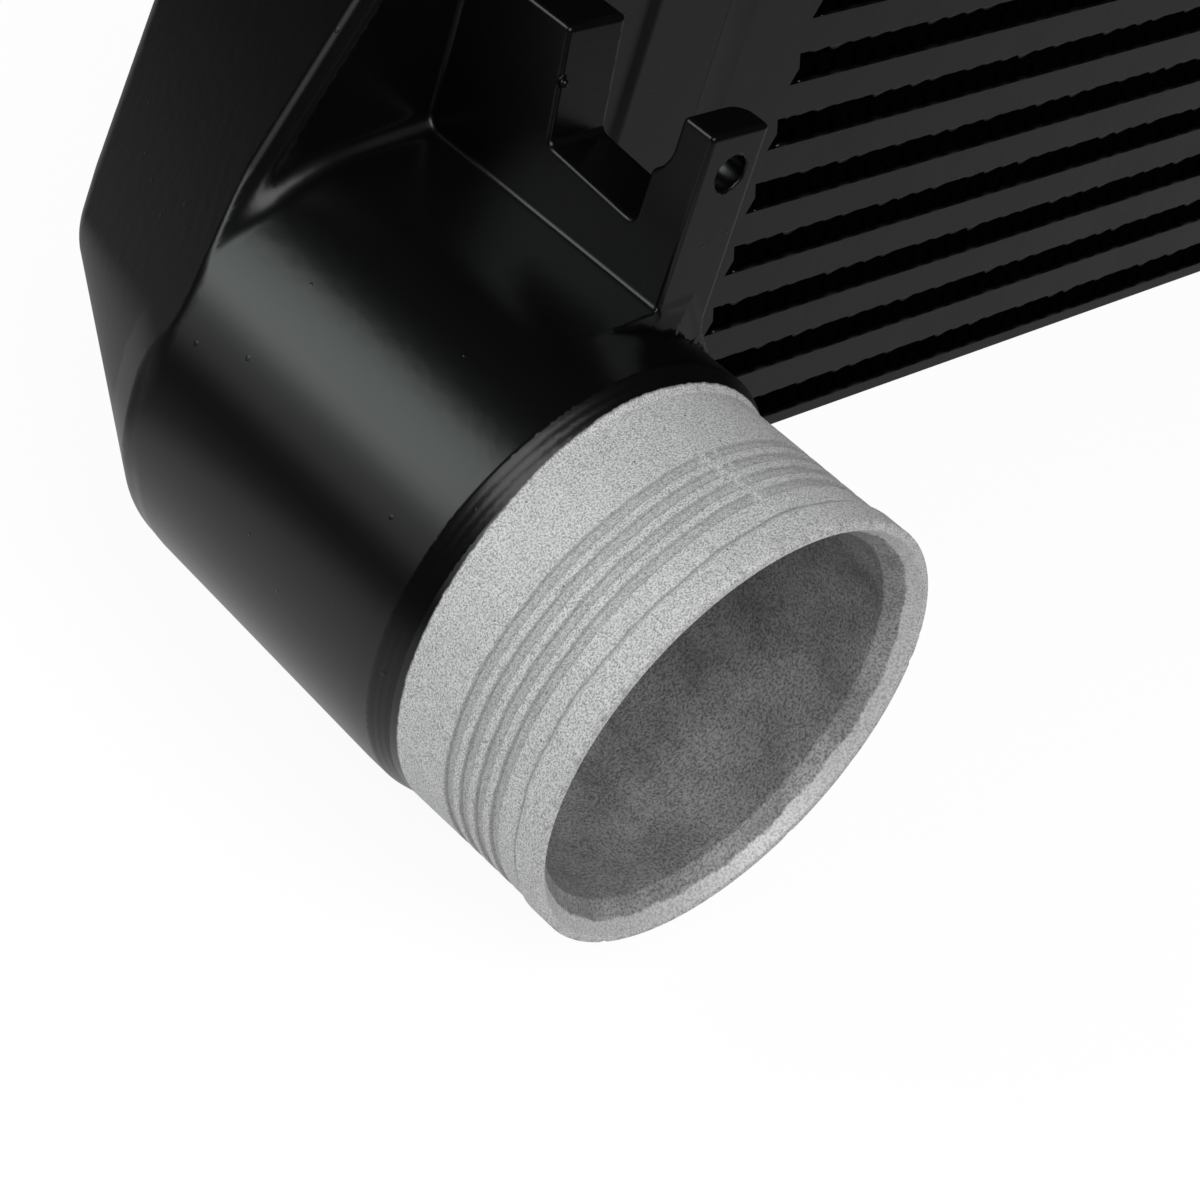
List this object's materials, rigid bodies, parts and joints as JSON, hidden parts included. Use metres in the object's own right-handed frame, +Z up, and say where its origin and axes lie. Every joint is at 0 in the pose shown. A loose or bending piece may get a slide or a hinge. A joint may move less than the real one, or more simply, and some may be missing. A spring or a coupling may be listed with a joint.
{
  "type": "intercooler",
  "caption": "Bar-and-plate air-to-air intercooler: a finned rectangular core between cast end tanks, each with a grooved round hose neck and a notched bracket lug.",
  "frame": {"origin": "middle of the core's underside: halfway between the tanks, halfway through the core's depth, on the plane that the part stands on", "axes": "+X along the core towards the right-hand tank, +Y from the front face, which the hose necks point out of, to the back face, +Z up"},
  "size_m": [0.7462, 0.1994, 0.2142],
  "materials": {
    "powder_coat": "gloss black powder coat on aluminium; the hose necks are left raw, blasted cast aluminium",
    "coated_fin": "thin satin black coat on folded aluminium sheet",
    "plain_aluminium": "uncoated brazed sheet inside the charge passages"
  },
  "bodies": {
    "root": {"air_fin_01": "coated_fin", "air_fin_02": "coated_fin", "air_fin_03": "coated_fin", "air_fin_04": "coated_fin", "air_fin_05": "coated_fin", "air_fin_06": "coated_fin", "air_fin_07": "coated_fin", "air_fin_08": "coated_fin", "air_fin_09": "coated_fin", "air_fin_10": "coated_fin", "air_fin_11": "coated_fin", "air_fin_12": "coated_fin", "air_fin_13": "coated_fin", "air_fin_14": "coated_fin", "air_fin_15": "coated_fin", "air_fin_16": "coated_fin", "charge_passage_01": "powder_coat", "charge_passage_02": "powder_coat", "charge_passage_03": "powder_coat", "charge_passage_04": "powder_coat", "charge_passage_05": "powder_coat", "charge_passage_06": "powder_coat", "charge_passage_07": "powder_coat", "charge_passage_08": "powder_coat", "charge_passage_09": "powder_coat", "charge_passage_10": "powder_coat", "charge_passage_11": "powder_coat", "charge_passage_12": "powder_coat", "charge_passage_13": "powder_coat", "charge_passage_14": "powder_coat", "charge_passage_15": "powder_coat", "turbulator_01": "plain_aluminium", "turbulator_02": "plain_aluminium", "turbulator_03": "plain_aluminium", "turbulator_04": "plain_aluminium", "turbulator_05": "plain_aluminium", "turbulator_06": "plain_aluminium", "turbulator_07": "plain_aluminium", "turbulator_08": "plain_aluminium", "turbulator_09": "plain_aluminium", "turbulator_10": "plain_aluminium", "turbulator_11": "plain_aluminium", "turbulator_12": "plain_aluminium", "turbulator_13": "plain_aluminium", "turbulator_14": "plain_aluminium", "turbulator_15": "plain_aluminium", "header_bars_left": "powder_coat", "header_bars_right": "powder_coat", "side_plate_bottom": "powder_coat", "side_plate_top": "powder_coat", "tank_left": "powder_coat", "tank_right": "powder_coat", "weld_left": "powder_coat", "weld_right": "powder_coat"}
  },
  "joints": []
}
